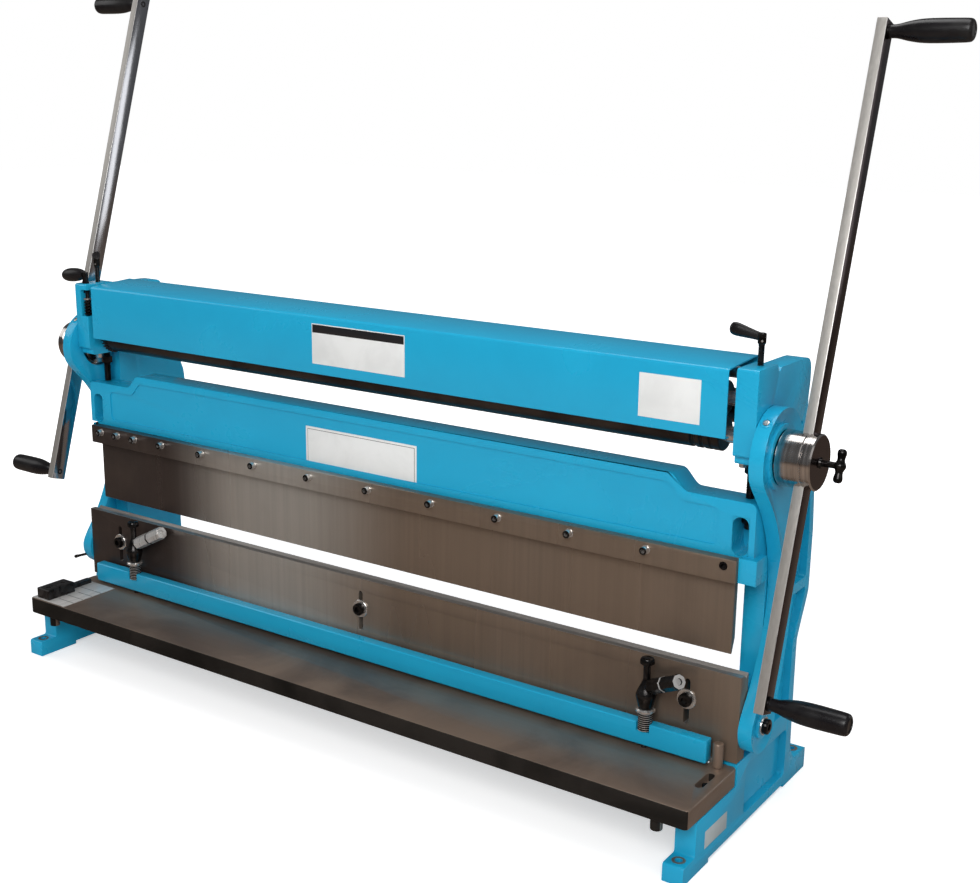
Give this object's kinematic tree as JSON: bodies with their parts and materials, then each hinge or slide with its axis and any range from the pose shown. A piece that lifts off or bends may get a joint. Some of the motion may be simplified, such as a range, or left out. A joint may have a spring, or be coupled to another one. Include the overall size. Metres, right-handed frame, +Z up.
{
  "type": "sheet metal combination machine",
  "caption": "Hand-driven bench machine that shears, folds and rolls sheet metal, with end frames, rams, rolls, eccentric link arms, handle bars and clamps.",
  "frame": {"origin": "floor plane under the centre of the machine's bounding box", "axes": "+X along the machine to its right as the operator faces it, +Y towards its back, +Z up"},
  "size_m": [1.7576, 0.438, 1.243],
  "materials": {
    "blue_paint": "gloss",
    "plate_steel": "ground",
    "table_iron": "oiled",
    "bright_steel": "polished",
    "chrome": "polished",
    "black_steel": "black oxide",
    "black_plastic": "satin gloss"
  },
  "bodies": {
    "base": {"frame_left": "blue_paint", "frame_right": "blue_paint", "tie_bar_rolls": "bright_steel", "tie_bar_rear": "bright_steel", "table": "table_iron", "fixed_blade": "bright_steel", "scale_strip": "bright_steel", "gauge_block": "black_steel", "roll_guard": "blue_paint", "bearing_block_left": "black_steel", "bearing_block_right": "black_steel", "ram_stud_left": "black_steel", "ram_stud_right": "black_steel", "clamp_stud_left": "black_steel", "clamp_stud_right": "black_steel"},
    "lower_ram": {"lower_beam": "blue_paint", "bending_plate": "plate_steel", "moving_blade": "bright_steel", "plate_screw_left": "black_steel", "plate_screw_middle": "black_steel", "plate_screw_right": "black_steel", "link_pin_left": "black_steel", "link_pin_right": "black_steel"},
    "upper_ram": {"upper_ram": "blue_paint", "clamp_strip": "plate_steel", "punch_plate": "plate_steel", "ram_nut_left": "bright_steel", "ram_nut_right": "bright_steel"},
    "drive_shaft": {"lower_roll": "bright_steel", "lower_gear": "black_steel", "hub_left": "bright_steel", "hub_right": "bright_steel"},
    "upper_roll": {"upper_roll": "bright_steel", "upper_gear": "black_steel"},
    "rear_roll": {"rear_roll": "bright_steel"},
    "hold_down": {"hold_down_bar": "blue_paint", "clamp_sleeve_left": "black_steel", "clamp_sleeve_right": "black_steel", "clamp_washer_left": "bright_steel", "clamp_washer_right": "bright_steel"},
    "release_lever": {"release_stem": "black_steel", "release_grip": "black_plastic"},
    "link_arm_left": {"link_arm_left": "blue_paint"},
    "handle_left": {"handle_bar_left": "chrome", "grip_left_low": "black_plastic", "grip_left_high": "black_plastic"},
    "hub_screw_left": {"hub_screw_left": "black_steel"},
    "clamp_left": {"clamp_body_left": "black_steel", "clamp_lever_left": "bright_steel"},
    "roll_screw_left": {"roll_screw_left": "black_steel", "roll_lever_left": "black_plastic"},
    "link_arm_right": {"link_arm_right": "blue_paint"},
    "handle_right": {"handle_bar_right": "chrome", "grip_right_low": "black_plastic", "grip_right_high": "black_plastic"},
    "hub_screw_right": {"hub_screw_right": "black_steel"},
    "clamp_right": {"clamp_body_right": "black_steel", "clamp_lever_right": "black_steel"},
    "roll_screw_right": {"roll_screw_right": "black_steel", "roll_lever_right": "black_plastic"}
  },
  "joints": [
    {"name": "lower_ram_slide", "type": "slide", "parent": "base", "child": "lower_ram", "axis": [0, 0, 1], "range_m": [0, 0.0245]},
    {"name": "drive_turn", "type": "hinge", "parent": "base", "child": "drive_shaft", "pos_m": [0, -0.021, 0.597], "axis": [1, 0, 0], "range_deg": [-1, 74]},
    {"name": "upper_roll_turn", "type": "hinge", "parent": "base", "child": "upper_roll", "pos_m": [0, -0.021, 0.649], "axis": [1, 0, 0], "range_deg": [-74, 1]},
    {"name": "rear_roll_turn", "type": "hinge", "parent": "base", "child": "rear_roll", "pos_m": [0, 0.043, 0.625], "axis": [1, 0, 0], "continuous": true},
    {"name": "upper_ram_slide", "type": "slide", "parent": "base", "child": "upper_ram", "axis": [0, 0, 1], "range_m": [0, 0.03]},
    {"name": "hold_down_slide", "type": "slide", "parent": "base", "child": "hold_down", "axis": [0, 0, 1], "range_m": [-0.004, 0]},
    {"name": "release_turn", "type": "hinge", "parent": "base", "child": "release_lever", "pos_m": [-0.683, -0.05, 0.701], "axis": [0, 0, 1], "range_deg": [-45, 45]},
    {"name": "link_arm_left_swing", "type": "hinge", "parent": "lower_ram", "child": "link_arm_left", "pos_m": [-0.711, -0.021, 0.172], "axis": [1, 0, 0], "range_deg": [-2.8, 0.2]},
    {"name": "handle_left_slide", "type": "slide", "parent": "drive_shaft", "child": "handle_left", "axis": [0, 0.2895, 0.9572], "range_m": [-0.15, 0.2]},
    {"name": "hub_screw_left_turn", "type": "hinge", "parent": "drive_shaft", "child": "hub_screw_left", "pos_m": [-0.775, -0.012, 0.5745], "axis": [1, 0, 0], "range_deg": [-170, 170]},
    {"name": "clamp_left_turn", "type": "hinge", "parent": "hold_down", "child": "clamp_left", "pos_m": [-0.557, -0.0745, 0.1758], "axis": [0, 0, 1], "range_deg": [-170, 2]},
    {"name": "roll_screw_left_turn", "type": "hinge", "parent": "base", "child": "roll_screw_left", "pos_m": [-0.683, -0.021, 0.701], "axis": [0, 0, 1], "range_deg": [-170, 170]},
    {"name": "link_arm_right_swing", "type": "hinge", "parent": "lower_ram", "child": "link_arm_right", "pos_m": [0.711, -0.021, 0.172], "axis": [1, 0, 0], "range_deg": [-2.8, 0.2]},
    {"name": "handle_right_slide", "type": "slide", "parent": "drive_shaft", "child": "handle_right", "axis": [0, 0.2895, 0.9572], "range_m": [-0.15, 0.2]},
    {"name": "hub_screw_right_turn", "type": "hinge", "parent": "drive_shaft", "child": "hub_screw_right", "pos_m": [0.775, -0.012, 0.5745], "axis": [1, 0, 0], "range_deg": [-170, 170]},
    {"name": "clamp_right_turn", "type": "hinge", "parent": "hold_down", "child": "clamp_right", "pos_m": [0.557, -0.0745, 0.1758], "axis": [0, 0, 1], "range_deg": [-142, 20]},
    {"name": "roll_screw_right_turn", "type": "hinge", "parent": "base", "child": "roll_screw_right", "pos_m": [0.683, -0.021, 0.701], "axis": [0, 0, 1], "range_deg": [-170, 170]}
  ],
  "couplings": [
    {"joint": "drive_turn", "follows": "lower_ram_slide", "rad_per_m": 52},
    {"joint": "upper_roll_turn", "follows": "lower_ram_slide", "rad_per_m": -52},
    {"joint": "link_arm_left_swing", "follows": "lower_ram_slide", "rad_per_m": -1.863},
    {"joint": "link_arm_right_swing", "follows": "lower_ram_slide", "rad_per_m": -1.863}
  ]
}
